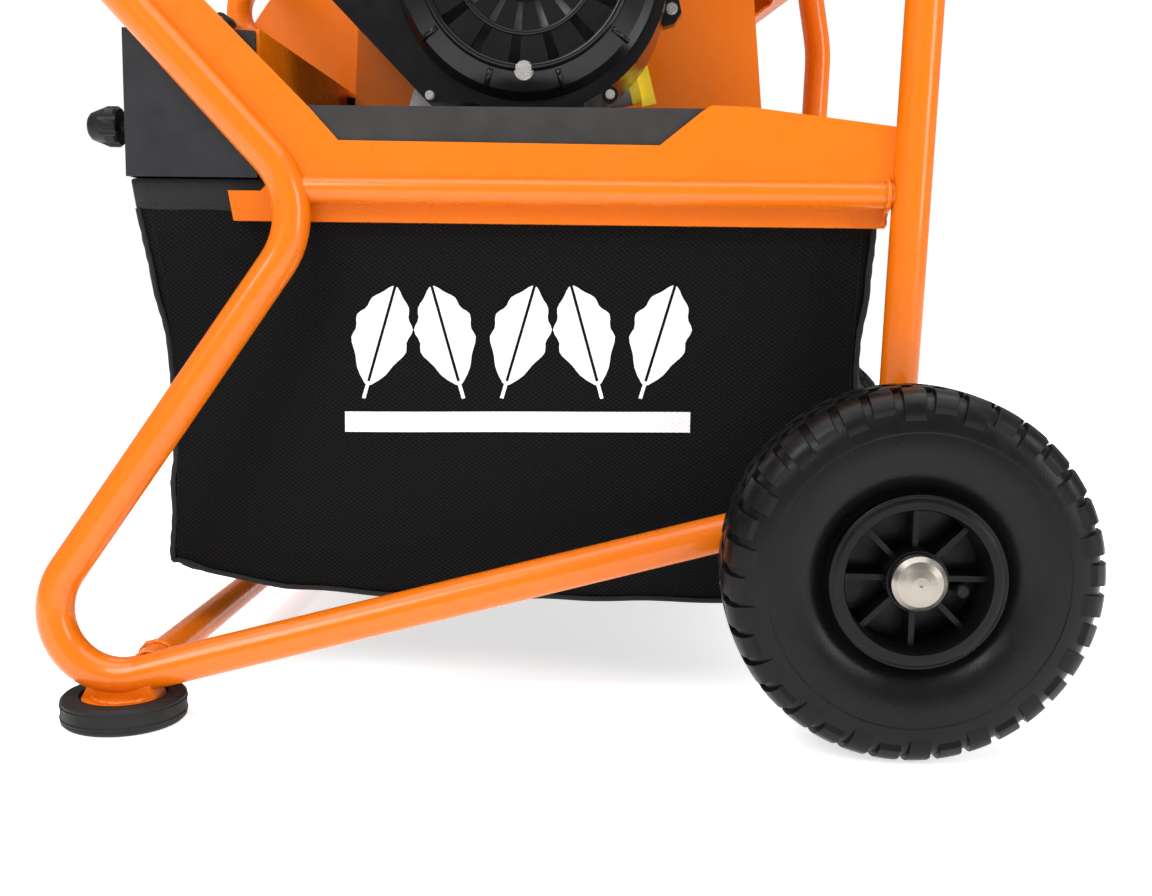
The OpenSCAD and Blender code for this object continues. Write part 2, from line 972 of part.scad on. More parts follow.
module throttle_lever() { color(steel) lever(-81, 686, -123.5, 36, 115); }
module choke_lever() { color(black) lever(-196, 666, -106, 36, 165); }
module fuel_lever() { color(black) lever(-196, 644, -106, 34, 195); }

module stop_switch() {
    color("red")
        difference() {
            union() {
                disc(-126, 622, -208, -195, 13);
                slab(-214, -207)
                    translate([-126, 622])
                        rotate(60)
                            translate([-12, -3])
                                square([24, 6]);
            }
            disc(-126, 622, -201.2, -194, 5 + fit);
        }
}

module dipstick() {
    color("gold")
        along(filler + filler_dir * 0.3, filler_dir) {
            cylinder(h = 9, r = 13, $fn = 64);
            translate([-17, -2.5, 8])
                cube([34, 5, 13]);
            translate([0, 0, -40])
                cylinder(h = 41, r = 2.5, $fn = 24);
        }
}

// ---------- Fan ----------

function scroll_point(a, t) =
    [shaft_x, shaft_z]
    + polar(scroll_r0 + t + (scroll_r1 - scroll_r0) * (scroll_start - a) / (scroll_start - scroll_end), a);
function scroll_inside() = concat(
    [for (a = [scroll_start : -7.625 : scroll_end]) scroll_point(a, 0)],
    [[bulkhead_x + 2.5, shaft_z - scroll_r1], [bulkhead_x + 2.5, 505]]
);
function scroll_outside() = concat(
    [[-118, 499]],
    [for (a = [scroll_start - 15.25 : -7.625 : scroll_end]) scroll_point(a, duct_t)],
    [[bulkhead_x + 2.5, shaft_z - scroll_r1 - duct_t], [bulkhead_x + 2.5, 505 + duct_t]]
);

module fan_front_plate() {
    outline = [
        [-208, 405.5], [155, 405.5], [155, 455], [200, 455], [172, 735], [-140, 735], [-196, 640]
    ];
    color(orange)
        difference() {
            slab(57, fan_y0)
                polygon(outline);
            disc(shaft_x, shaft_z, 56, 61, 30);
        }
}

// Spiral wall, back plate with the round eye, and the outlet to the hood
module fan_housing() {
    color(orange)
        difference() {
            slab(fan_y0, fan_y1 + 3)
                polygon(scroll_outside());
            slab(fan_y0 - 1, fan_y1)
                polygon(scroll_inside());
            disc(shaft_x, shaft_z, fan_y1 - 1, fan_y1 + 4, eye_r);
        }
}

// Puts a shape in the intake's own axes: local X runs up the slope from the fan's centre
module on_intake() {
    translate([shaft_x, shaft_z])
        rotate(intake_slope)
            children();
}

// Box duct from the fan's eye up the slope to the round collar for the suction hose
module intake_duct() {
    duct_y0 = fan_y1 + 3;
    wide_y0 = 92;
    wide_s = 215;
    end_s = 330;
    collar_y = (wide_y0 + duct_y1) / 2;
    along_intake = [cos(intake_slope), 0, sin(intake_slope)];
    collar_base = [shaft_x, collar_y, shaft_z] + along_intake * (end_s - duct_t);
    collar_tip = [shaft_x, collar_y, shaft_z] + along_intake * (end_s + collar_len);
    color(orange)
        difference() {
            union() {
                slab(duct_y0, duct_y1)
                    on_intake()
                        union() {
                            circle(r = duct_half, $fn = 96);
                            translate([0, -duct_half])
                                square([end_s, duct_half * 2]);
                        }
                slab(wide_y0, duct_y1)
                    on_intake()
                        translate([wide_s, -duct_half])
                            square([end_s - wide_s, duct_half * 2]);
                rod(collar_base, collar_tip, collar_r);
            }
            slab(duct_y0 - 1, duct_y1 - duct_t)
                on_intake()
                    union() {
                        circle(r = duct_half - duct_t, $fn = 96);
                        translate([0, -duct_half + duct_t])
                            square([end_s - duct_t, (duct_half - duct_t) * 2]);
                    }
            slab(wide_y0 + duct_t, duct_y1 - duct_t)
                on_intake()
                    translate([wide_s + duct_t, -duct_half + duct_t])
                        square([end_s - wide_s - 2 * duct_t, (duct_half - duct_t) * 2]);
            rod(collar_base - along_intake * 5, collar_tip + along_intake, collar_r - duct_t);
        }
}

// ---------- Bolts and screws of the frame, engine and fan ----------

module fasteners() {
    color(steel) {
        for (x = [-112, 60], y = [-55, 25]) {
            hex_bolt([x, y, deck_z + 12], [0, 0, 1], 13, 8);
            rod([x, y, deck_z - 12], [x, y, deck_z + 12.5], 4);
            hex_bolt([x, y, deck_z - deck_t], [0, 0, -1], 13, 7);
        }
        for (a = [-90, 30, 150])
            hex_bolt([shaft_x + 81 * cos(a), recoil_y, shaft_z + 81 * sin(a)], [0, -1, 0], 12, 6);
        for (p = [[-91, 472], [52, 474]])
            hex_bolt([p[0], -194.5, p[1]], [0, -1, 0], 6, 5);
        hex_bolt([101.5, -108, 557], [0, -1, 0], 8, 6);
        for (p = [[-150, 650], [-40, 718], [90, 715], [165, 660]])
            hex_bolt([p[0], 57, p[1]], [0, -1, 0], 10, 5.5);
    }
}

loop_tube_right();
loop_tube_left();
uprights();
foot_beam();
handle_tube();
handle_grip();
top_cross_tube();
foot_pads();
side_plate_right();
side_plate_left();
rail_tubes();
bag_rails();
deck();
bag_lid();
hinge_pin();
axle();
hub_caps();
fasteners();
crankcase();
cylinder_head();
valve_cover();
blower_housing();
recoil_cover();
fuel_tank();
carburettor();
air_filter();
muffler();
muffler_guard();
spark_plug();
spark_lead();
fan_front_plate();
fan_housing();
intake_duct();
crankshaft();
flywheel();
impeller();
mulching_blade();
impeller_bolt();
starter_pulley();
starter_rope();
starter_handle();
fuel_cap();
throttle_lever();
choke_lever();
fuel_lever();
stop_switch();
dipstick();
tyre_right();
tyre_left();
rim_right();
rim_left();
hub_bushes_right();
hub_bushes_left();
inner_tube_right();
inner_tube_left();
hood();
latch_right();
latch_left();
bag();
bag_frame();
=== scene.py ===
"""Leaf vacuum mulcher: the looks. The CAD nodes are the frame of everything here; the cloth bag,
the tyres and the small dressings are built on them, in metres."""

import math

import bmesh
import bpy
from mathutils import Matrix, Vector
from mathutils.bvhtree import BVHTree


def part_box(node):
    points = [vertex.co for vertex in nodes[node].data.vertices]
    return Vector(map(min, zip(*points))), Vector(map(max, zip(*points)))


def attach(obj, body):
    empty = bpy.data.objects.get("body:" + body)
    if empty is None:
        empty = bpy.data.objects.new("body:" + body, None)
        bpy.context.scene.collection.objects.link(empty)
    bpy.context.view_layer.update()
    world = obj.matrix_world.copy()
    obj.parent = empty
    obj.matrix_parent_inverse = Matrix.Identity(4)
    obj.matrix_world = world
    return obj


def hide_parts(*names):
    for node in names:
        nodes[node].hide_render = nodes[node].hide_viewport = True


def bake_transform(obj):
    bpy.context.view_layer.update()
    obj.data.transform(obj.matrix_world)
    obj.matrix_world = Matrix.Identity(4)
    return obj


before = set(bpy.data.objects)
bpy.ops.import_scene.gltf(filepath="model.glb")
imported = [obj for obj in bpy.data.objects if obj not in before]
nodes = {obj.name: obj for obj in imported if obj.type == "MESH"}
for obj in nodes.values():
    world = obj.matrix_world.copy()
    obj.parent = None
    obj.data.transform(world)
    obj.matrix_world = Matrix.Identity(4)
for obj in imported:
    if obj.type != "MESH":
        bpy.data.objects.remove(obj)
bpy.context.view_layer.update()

scene = bpy.context.scene

# ---------------------------------------------------------------- camera

# Place in metres, angles in degrees, and the focal length as a share of the picture's width
CAMERA_AT = Vector((0.0676, -1.2454, 0.3276))
YAW, PITCH, ROLL = (math.radians(a) for a in (-2.114, 7.339, 0.799))
FOCAL_PER_WIDTH = 1.12535
SENSOR_WIDTH = 36

forward = Vector((math.sin(YAW) * math.cos(PITCH), math.cos(YAW) * math.cos(PITCH), -math.sin(PITCH)))
level_right = Vector((math.cos(YAW), -math.sin(YAW), 0))
level_up = level_right.cross(forward)
right = level_right * math.cos(ROLL) + level_up * math.sin(ROLL)
up = level_up * math.cos(ROLL) - level_right * math.sin(ROLL)
camera_data = bpy.data.cameras.new("camera")
camera_data.sensor_width = SENSOR_WIDTH
camera_data.lens = SENSOR_WIDTH * FOCAL_PER_WIDTH
camera_data.clip_start = 0.02
camera = bpy.data.objects.new("camera", camera_data)
scene.collection.objects.link(camera)
camera.matrix_world = Matrix.Translation(CAMERA_AT) @ Matrix((right, up, -forward)).transposed().to_4x4()
scene.camera = camera

# ---------------------------------------------------------------- materials


class Nodes:
    """A material's node tree, with short ways to add and link nodes."""

    def __init__(self, name):
        self.material = bpy.data.materials.new(name)
        self.material.use_nodes = True
        self.tree = self.material.node_tree
        self.shader = self.tree.nodes["Principled BSDF"]
        self.place = self.add("ShaderNodeTexCoord").outputs["Object"]

    def add(self, kind, **inputs):
        """A new node. Its inputs are given by name, with _ for a space."""
        node = self.tree.nodes.new(kind)
        for key, value in inputs.items():
            self.put(node.inputs[key.replace("_", " ")], value)
        return node

    def put(self, socket, value):
        """Links the socket to another socket, or sets it to a plain value."""
        if isinstance(value, bpy.types.NodeSocket):
            self.tree.links.new(value, socket)
        else:
            socket.default_value = value

    def set(self, name, value):
        """Sets or links an input of the shader."""
        self.put(self.shader.inputs[name], value)

    def noise(self, scale, detail=3, rough=0.55, at=None):
        node = self.add("ShaderNodeTexNoise", Scale=scale, Detail=detail, Roughness=rough)
        self.tree.links.new(at or self.place, node.inputs["Vector"])
        return node.outputs["Fac"]

    def math(self, operation, a, b=0.0):
        node = self.add("ShaderNodeMath")
        node.operation = operation
        self.put(node.inputs[0], a)
        self.put(node.inputs[1], b)
        return node.outputs[0]

    def span(self, value, low, high, out_low, out_high):
        """Maps low..high to out_low..out_high, without going past either end."""
        node = self.add("ShaderNodeMapRange")
        node.clamp = True
        for index, item in enumerate((value, low, high, out_low, out_high)):
            self.put(node.inputs[index], item)
        return node.outputs[0]

    def mix(self, factor, a, b):
        node = self.add("ShaderNodeMix")
        node.data_type = "RGBA"
        self.put(node.inputs[0], factor)
        self.put(node.inputs[6], a)
        self.put(node.inputs[7], b)
        return node.outputs[2]

    def bump(self, height, distance, strength=1.0, normal=None):
        node = self.add("ShaderNodeBump", Distance=distance, Strength=strength, Height=height)
        if normal:
            self.tree.links.new(normal, node.inputs["Normal"])
        return node.outputs["Normal"]


def rgb(r, g, b):
    return (r, g, b, 1.0)


def shaded(colour, factor, lift=0.0):
    """The colour times a factor, plus a small even lift."""
    return tuple(min(1, c * factor + lift) for c in colour[:3]) + (1,)


def paint(name, colour, edge, rough=0.3, coat=0.35, gloss=0.5):
    """Sprayed enamel: orange peel, faint colour drift, and small rubbed spots."""
    n = Nodes(name)
    drift = n.span(n.noise(7, 4), 0.3, 0.7, 0, 0.25)
    base = n.mix(drift, colour, shaded(colour, 0.85))
    patches = n.span(n.noise(11, 2), 0.6, 0.7, 0, 1)
    specks = n.span(n.noise(210, 5), 0.64, 0.74, 0, 1)
    rubbed = n.math("MULTIPLY", patches, specks)
    n.set("Base Color", n.mix(n.math("MULTIPLY", rubbed, 0.35), base, edge))
    n.set("Roughness", n.span(n.noise(45, 5), 0.3, 0.7, rough - 0.05, rough + 0.07))
    n.set("Specular IOR Level", gloss)
    n.set("Coat Weight", coat)
    n.set("Coat Roughness", 0.07)
    n.set("Normal", n.bump(n.noise(520, 2), 0.00025, 0.25))
    return n.material


def moulded(name, colour, rough=0.5, grain=1500, depth=0.0002, spread=0.12, gloss=0.5):
    """Moulded plastic or rubber: fine grain, slight flow marks and a spread of roughness."""
    n = Nodes(name)
    flow = n.noise(16, 3)
    n.set("Base Color", n.mix(flow, colour, shaded(colour, 1.5, 0.0015)))
    n.set("Roughness", n.span(n.noise(70, 5), 0.3, 0.7, rough - spread, rough + spread))
    n.set("Specular IOR Level", gloss)
    fine = n.bump(n.noise(grain, 3), depth, 0.5)
    n.set("Normal", n.bump(n.noise(38, 2), 0.0008, 0.12, fine))
    return n.material


def metal(name, colour, rough=0.3, stretch=(1, 1, 1), scale=420, depth=0.0002, stain=None):
    """Bare metal: brushed or cast grain, with stains where it has been hot or wet."""
    n = Nodes(name)
    mapping = n.add("ShaderNodeMapping", Vector=n.place)
    mapping.inputs["Scale"].default_value = stretch
    grain = n.noise(scale, 4, at=mapping.outputs[0])
    darker = stain or shaded(colour, 0.72)
    n.set("Base Color", n.mix(n.span(n.noise(24, 5), 0.42, 0.68, 0, 1), colour, darker))
    n.set("Metallic", 1.0)
    n.set("Roughness", n.span(grain, 0.3, 0.7, rough - 0.1, rough + 0.12))
    n.set("Normal", n.bump(grain, depth, 0.4))
    return n.material


def weave(name, colour, light, across=0.0046, down=0.0034, depth=0.0007, gloss=0.1):
    """Coarse coated cloth, woven in staggered knots. The pattern follows the upright panels."""
    n = Nodes(name)
    xyz = n.add("ShaderNodeSeparateXYZ", Vector=n.place)
    wander = n.math("MULTIPLY", n.math("SUBTRACT", n.noise(30, 2), 0.5), 0.0012)
    along = n.math("ADD", n.math("ADD", xyz.outputs[0], xyz.outputs[1]), wander)
    upward = n.math("ADD", xyz.outputs[2], wander)
    wave_u = n.math("SINE", n.math("MULTIPLY", along, 2 * math.pi / across))
    wave_v = n.math("SINE", n.math("MULTIPLY", upward, 2 * math.pi / down))
    knots = n.span(n.math("MULTIPLY", wave_u, wave_v), -0.2, 0.9, 0, 1)
    fibres = n.noise(2600, 3)
    # Painted highlight: the raised knots take the lighter colour, and the gaps between them keep the
    # darker colour as painted shade
    painted_knot_highlight = n.math("MULTIPLY", knots, n.span(fibres, 0.2, 0.8, 0.5, 1))
    n.set("Base Color", n.mix(painted_knot_highlight, colour, light))
    n.set("Roughness", n.span(knots, 0, 1, 0.85, 0.6))
    n.set("Specular IOR Level", gloss)
    height = n.math("ADD", knots, n.math("MULTIPLY", fibres, 0.35))
    n.set("Normal", n.bump(height, depth, 0.7))
    return n.material


def braid(name, colour, pitch):
    """Braided or ribbed webbing."""
    n = Nodes(name)
    wave = n.add("ShaderNodeTexWave", Vector=n.place, Scale=pitch, Distortion=0.8)
    wave.bands_direction = "DIAGONAL"
    # Painted shade: the braid's low bands, where the bump sinks, take the darker colour
    n.set("Base Color", n.mix(wave.outputs["Fac"], shaded(colour, 0.55), colour))
    n.set("Roughness", 0.8)
    n.set("Normal", n.bump(n.math("ADD", wave.outputs["Fac"], n.noise(1800, 2)), 0.0005, 0.6))
    return n.material


ORANGE = paint("orange_enamel", rgb(0.66, 0.137, 0.0018), rgb(0.75, 0.24, 0.035),
               rough=0.27, coat=0.3, gloss=0.24)
DECK_BLACK = paint("black_enamel", rgb(0.02, 0.019, 0.018), rgb(0.12, 0.11, 0.1), rough=0.34, coat=0.1)
HOOD_BLACK = paint("black_enamel_hood", rgb(0.0115, 0.012, 0.0145), rgb(0.1, 0.1, 0.11),
                   rough=0.38, coat=0.04, gloss=0.34)
GLOSS_BLACK = moulded("gloss_black", rgb(0.0035, 0.0035, 0.0038),
                      rough=0.18, grain=700, depth=0.00008, spread=0.06, gloss=0.28)
MATT_BLACK = moulded("matt_black", rgb(0.0065, 0.0065, 0.007), rough=0.46, gloss=0.18)
RIM_BLACK = moulded("rim_black", rgb(0.0025, 0.0025, 0.0027),
                    rough=0.3, grain=900, depth=0.00012, spread=0.07, gloss=0.14)
TYRE = moulded("tyre_rubber", rgb(0.0032, 0.0032, 0.0036),
               rough=0.32, grain=700, depth=0.0003, spread=0.07, gloss=0.14)
RUBBER = moulded("rubber", rgb(0.0065, 0.006, 0.0058),
                 rough=0.62, grain=600, depth=0.0005, spread=0.1, gloss=0.25)
FOAM = moulded("foam", rgb(0.02, 0.02, 0.021), rough=0.85, grain=420, depth=0.0012)
YELLOW = moulded("yellow_plastic", rgb(0.85, 0.55, 0.03), rough=0.35, grain=900, depth=0.0001)
RED = moulded("red_plastic", rgb(0.55, 0.02, 0.015), rough=0.3, grain=900, depth=0.0001)
CERAMIC = moulded("ceramic", rgb(0.75, 0.74, 0.7), rough=0.15, grain=300, depth=0.00003)
CAST = metal("cast_alloy", rgb(0.42, 0.42, 0.43), rough=0.5, scale=700, depth=0.0006)
IRON = metal("cast_iron", rgb(0.2, 0.2, 0.21), rough=0.55, scale=600, depth=0.0006)
STEEL = metal("zinc_steel", rgb(0.62, 0.6, 0.57), rough=0.3, stretch=(1, 1, 12), scale=300, depth=0.0001)
CAP_STEEL = metal("satin_cap", rgb(0.3, 0.275, 0.24), rough=0.3, scale=50, depth=0.00002,
                  stain=rgb(0.27, 0.25, 0.215))
HOT_STEEL = metal("hot_steel", rgb(0.3, 0.24, 0.19), rough=0.45, stretch=(1, 1, 6), scale=300,
                  stain=rgb(0.16, 0.09, 0.05))
# The second colour of each weave is the painted highlight on its raised knots
CLOTH = weave("bag_cloth", rgb(0.002, 0.002, 0.002), rgb(0.0085, 0.0085, 0.0085))
PRINT = weave("white_print", rgb(0.68, 0.68, 0.69), rgb(0.93, 0.93, 0.94), depth=0.0005, gloss=0.3)
TAPE = braid("seam_tape", rgb(0.0035, 0.0035, 0.0035), pitch=330)
ROPE = braid("starter_cord", rgb(0.7, 0.7, 0.66), pitch=420)
THREAD = moulded("thread", rgb(0.016, 0.016, 0.0165), rough=0.7, grain=2000, depth=0.0001, gloss=0.2)

# The material of each CAD node that isn't orange, then the width of each node's rounded edges
MATERIAL_OF = {
    "deck": DECK_BLACK, "hood": HOOD_BLACK, "muffler_guard": HOOD_BLACK, "handle_grip": FOAM,
    "foot_pads": RUBBER, "spark_lead": GLOSS_BLACK, "crankcase": CAST, "cylinder_head": CAST,
    "carburettor": CAST, "valve_cover": GLOSS_BLACK, "blower_housing": GLOSS_BLACK,
    "recoil_cover": GLOSS_BLACK, "fuel_tank": GLOSS_BLACK, "air_filter": MATT_BLACK,
    "muffler": HOT_STEEL, "hinge_pin": HOT_STEEL, "spark_plug": CERAMIC, "flywheel": IRON,
    "starter_pulley": IRON, "starter_rope": ROPE, "starter_handle": MATT_BLACK,
    "fuel_cap": MATT_BLACK, "choke_lever": MATT_BLACK, "fuel_lever": MATT_BLACK,
    "stop_switch": RED, "dipstick": YELLOW, "rim_right": RIM_BLACK, "rim_left": RIM_BLACK,
    "inner_tube_right": RUBBER, "inner_tube_left": RUBBER, "latch_right": MATT_BLACK,
    "latch_left": MATT_BLACK, "hub_caps": CAP_STEEL, "axle": STEEL, "fasteners": STEEL,
    "hub_bushes_right": STEEL, "hub_bushes_left": STEEL, "crankshaft": STEEL, "impeller": STEEL,
    "mulching_blade": STEEL, "impeller_bolt": STEEL, "throttle_lever": STEEL, "bag_frame": STEEL,
}
EDGES = {
    "hood": 0.0025, "deck": 0.001, "side_plate_right": 0.0009, "side_plate_left": 0.0009,
    "bag_rails": 0.0007, "bag_lid": 0.0008, "fuel_tank": 0.009, "air_filter": 0.006,
    "muffler": 0.006, "muffler_guard": 0.002, "crankcase": 0.0015, "carburettor": 0.0015,
    "valve_cover": 0.004, "fan_front_plate": 0.0008, "fan_housing": 0.0009, "intake_duct": 0.002,
    "blower_housing": 0.004, "cylinder_head": 0.0008, "fasteners": 0.0005, "starter_handle": 0.001,
    "stop_switch": 0.001, "dipstick": 0.0015, "fuel_cap": 0.0015, "recoil_cover": 0.0012,
    "rim_right": 0.0012, "rim_left": 0.0012, "foot_beam": 0.001, "impeller": 0.0006,
}


def round_edges(obj, name, width, segments, degrees):
    """Rounds the edges that turn by more than the angle, and keeps flat faces flat."""
    bevel = obj.modifiers.new(name, "BEVEL")
    bevel.width = width
    bevel.segments = segments
    bevel.limit_method = "ANGLE"
    bevel.angle_limit = math.radians(degrees)
    bevel.use_clamp_overlap = True
    bevel.harden_normals = True


for name, node in nodes.items():
    node.data.materials.clear()
    node.data.materials.append(MATERIAL_OF.get(name, ORANGE))
    if name in EDGES:
        round_edges(node, "edges", EDGES[name], 3, 38)

# ---------------------------------------------------------------- mesh helpers


def piece(name, verts, faces, material, body, smooth=True):
    """A mesh object with its normals turned outwards, riding on a body if one is given."""
    mesh = bpy.data.meshes.new(name)
    mesh.from_pydata([tuple(v) for v in verts], [], faces)
    mesh.validate()
    work = bmesh.new()
    work.from_mesh(mesh)
    bmesh.ops.recalc_face_normals(work, faces=work.faces)
    work.to_mesh(mesh)
    work.free()
    mesh.materials.append(material)
    if smooth:
        mesh.polygons.foreach_set("use_smooth", [True] * len(mesh.polygons))
    obj = bpy.data.objects.new(name, mesh)
    scene.collection.objects.link(obj)
    if body:
        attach(obj, body)
    return obj


def grid_faces(rows, columns, closed=False):
    """Faces of a grid of rows by columns; closed joins the last column to the first."""
    faces = []
    for r in range(rows - 1):
        for c in range(columns if closed else columns - 1):
            d = (c + 1) % columns
            row, below = r * columns, (r + 1) * columns
            faces.append((row + c, row + d, below + d, below + c))
    return faces


class Batch:
    """Several shells gathered into one mesh."""

    def __init__(self):
        self.verts = []
        self.faces = []

    def add(self, verts, faces):
        start = len(self.verts)
        self.verts += [Vector(v) for v in verts]
        self.faces += [tuple(i + start for i in f) for f in faces]

    def sweep(self, path, radius, sides=10, closed=False, flat=1.0):
        """A round or flattened bar along the path, with capped ends."""
        count = len(path)
        side = None
        verts = []
        for i, point in enumerate(path):
            before = path[(i - 1) % count] if closed or i else path[0]
            after = path[(i + 1) % count] if closed or i < count - 1 else path[-1]
            ahead = (Vector(after) - Vector(before)).normalized()
            if side is None:
                helper = Vector((0, 0, 1)) if abs(ahead.z) < 0.9 else Vector((1, 0, 0))
                side = ahead.cross(helper).normalized()
            side = (side - ahead * side.dot(ahead)).normalized()
            other = ahead.cross(side)
            r = radius(i / count) if callable(radius) else radius
            for k in range(sides):
                a = 2 * math.pi * k / sides
                verts.append(Vector(point) + side * (math.cos(a) * r) + other * (math.sin(a) * r * flat))
        faces = grid_faces(count, sides, True)
        if closed:
            last = (count - 1) * sides
            faces += [(last + k, last + (k + 1) % sides, (k + 1) % sides, k) for k in range(sides)]
        else:
            faces.append(tuple(range(sides)))
            faces.append(tuple(range((count - 1) * sides, count * sides))[::-1])
        self.add(verts, faces)

    def lathe(self, profile, place, steps=96):
        """Turns (radius, height) points about local Z, then places them."""
        verts = []
        for r, z in profile:
            for k in range(steps):
                a = 2 * math.pi * k / steps
                verts.append(place @ Vector((r * math.cos(a), r * math.sin(a), z)))
        self.add(verts, grid_faces(len(profile), steps, True))

    def done(self, name, material, body, smooth=True):
        return piece(name, self.verts, self.faces, material, body, smooth)


def bead_profile(radius, height, half_width, half_height, steps):
    """Points for a lathe that turns a bead of oval section."""
    turns = [2 * math.pi * k / steps for k in range(steps + 1)]
    return [(radius + half_width * math.cos(a), height + half_height * math.sin(a)) for a in turns]


def box_middle(node):
    """Middle of a CAD node's box."""
    return [(low + high) / 2 for low, high in zip(*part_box(node))]


def between(table, x):
    """Straight-line reading of a table of (x, value) points, in rising x."""
    if x <= table[0][0]:
        return table[0][1]
    for (x0, a), (x1, b) in zip(table, table[1:]):
        if x <= x1:
            return a + (b - a) * (x - x0) / (x1 - x0)
    return table[-1][1]


# ---------------------------------------------------------------- bag

bag_low, bag_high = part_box("bag")
HALF = bag_high[1] - 0.0006
TOP = bag_high[2] - 0.0004
BOTTOM = bag_low[2]
# X of the bag's two end walls by height, and the height of its belly by X
FRONT = [
    (0.08, -0.2935), (0.104, -0.2995), (0.19, -0.296), (0.23, -0.296), (0.32, -0.303), (0.4, -0.3165)
]
BACK = [(0.075, 0.2535), (0.256, 0.2535), (0.346, 0.2565), (0.4, 0.2585)]
BELLY = [(-0.3, 0.1), (-0.288, 0.0905), (-0.217, 0.0795), (-0.134, 0.0755), (0.25, 0.0755)]
# Radius of the upright corners, the size of a cell of cloth, and the rough size of the plan
CORNER = 0.012
CELL = 0.0105
PLAN = (0.56, 0.49)
BELLY_RINGS = 22
THICKNESS = 0.0012
# Depth of the band at the top that stays put, depth where the cloth is free, its longest move
# when it settles, and the frames that it is given to settle in
HELD = 0.034
FREE = 0.045
LONGEST_MOVE = 0.006
SETTLE_FRAMES = 25
# Reach and strength of the hold that the corner seams have on the cloth
SEAM_REACH = 0.013
SEAM_HOLD = 0.12


def rim_points():
    """Points round the bag's plan as (share of its length, side in Y)."""
    long_steps, short_steps = (int(size / CELL) for size in PLAN)
    points = [(i / long_steps, -1.0) for i in range(long_steps)]
    points += [(1.0, -1 + 2 * i / short_steps) for i in range(short_steps)]
    points += [(1 - i / long_steps, 1.0) for i in range(long_steps)]
    points += [(0.0, 1 - 2 * i / short_steps) for i in range(short_steps)]
    return points


RIM = rim_points()


def bag_point(share, side, drop):
    """A point on the bag's skin: share of the length, side from -1 to 1, drop from the rim."""
    x = between(FRONT, TOP) * (1 - share) + between(BACK, TOP) * share
    z = TOP + (between(BELLY, x) - TOP) * drop
    low, high = between(FRONT, z), between(BACK, z)
    y = side * HALF
    x = low * (1 - share) + high * share
    near_end, near_side = min(share, 1 - share) * (high - low), (1 - abs(side)) * HALF
    if near_end < CORNER and near_side < CORNER:
        cut = CORNER - math.hypot(CORNER - near_end, CORNER - near_side)
        pull = max(0.0, -cut)
        x += pull * (1 if share < 0.5 else -1) * 0.7
        y -= math.copysign(pull * 0.7, side)
    return Vector((x, y, z))


def end_gap(point):
    """Distance along the machine from a point to the bag's nearer end wall."""
    return min(abs(point.x - between(FRONT, point.z)), abs(point.x - between(BACK, point.z)))


def make_bag():
    """The walls as rows down from the rim, then rings that close the belly onto a short spine."""
    wall_rows = int((TOP - BOTTOM) / CELL) + 1
    verts = []
    for row in range(wall_rows + 1):
        verts += [bag_point(s, y, row / wall_rows) for s, y in RIM]
    for ring in range(1, BELLY_RINGS + 1):
        for share, side in RIM:
            edge = bag_point(share, side, 1.0)
            spine = bag_point(min(max(share, 0.3), 0.7), 0.0, 1.0)
            point = edge.lerp(spine, ring / BELLY_RINGS)
            point.z = between(BELLY, point.x)
            verts.append(point)
    return verts, grid_faces(wall_rows + 1 + BELLY_RINGS, len(RIM), True)


# The innermost ring lies folded along the spine, so the points that meet there are merged
bag_verts, bag_faces = make_bag()
bag = piece("bag_cloth", bag_verts, bag_faces, CLOTH, "bag")
work = bmesh.new()
work.from_mesh(bag.data)
bmesh.ops.remove_doubles(work, verts=work.verts, dist=0.0004)
bmesh.ops.recalc_face_normals(work, faces=work.faces)
work.to_mesh(bag.data)
work.free()
rest = [v.co.copy() for v in bag.data.vertices]

pins = bag.vertex_groups.new(name="pins")
for v in bag.data.vertices:
    held = v.co.z > TOP - HELD
    seam = end_gap(v.co) < SEAM_REACH and abs(v.co.y) > HALF - SEAM_REACH
    pins.add([v.index], 1.0 if held else (SEAM_HOLD if seam else 0.0), "REPLACE")
cloth = bag.modifiers.new("cloth", "CLOTH")
settings = cloth.settings
settings.quality = 6
settings.mass = 0.35
settings.tension_stiffness = 25
settings.compression_stiffness = 12
settings.shear_stiffness = 8
settings.bending_stiffness = 0.6
settings.use_pressure = True
settings.uniform_pressure_force = 0.35
settings.vertex_group_mass = "pins"
cloth.collision_settings.use_collision = False
for number in range(1, SETTLE_FRAMES + 1):
    scene.frame_set(number)
settled = bag.evaluated_get(bpy.context.evaluated_depsgraph_get()).data
moved = [v.co.copy() for v in settled.vertices]
bag.modifiers.remove(cloth)
bag.vertex_groups.clear()
scene.frame_set(1)
for v, start, end in zip(bag.data.vertices, rest, moved):
    step = end - start
    if step.length > LONGEST_MOVE:
        step *= LONGEST_MOVE / step.length
    if start.z > TOP - FREE:
        step *= max(0.0, min(1.0, (TOP - HELD - start.z) / (FREE - HELD)))
    step.z = max(step.z, BOTTOM + 0.0005 - start.z)
    v.co = start + step


def ripple(point):
    """Slack in the cloth: long shallow folds that gather at the corners and fade at the hem."""
    fade = min(1.0, max(0.0, (TOP - 0.04 - point.z) / 0.06))
    lower = min(1.0, max(0.0, (0.2 - point.z) / 0.1))
    wave = 0.0011 * math.sin(point.x * 21 + point.z * 9 + point.y * 17)
    wave += 0.0006 * math.sin(point.x * 47 - point.z * 31 + point.y * 29 + 1.3)
    end = math.exp(-end_gap(point) / 0.03)
    wave += end * 0.0013 * math.sin(point.z * 88 + math.sin(point.z * 37) * 1.7)
    wave += lower * 0.0008 * math.sin(point.x * 74 + point.z * 60)
    return wave * fade - 0.0008


for v, normal in [(v, v.normal.copy()) for v in bag.data.vertices]:
    if v.co.z < TOP - 0.03:
        v.co += normal * ripple(v.co)
bag.data.update()

subdivide = bag.modifiers.new("finer", "SUBSURF")
subdivide.levels = subdivide.render_levels = 1
thick = bag.modifiers.new("cloth_thickness", "SOLIDIFY")
thick.thickness = THICKNESS
thick.offset = -1
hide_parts("bag")

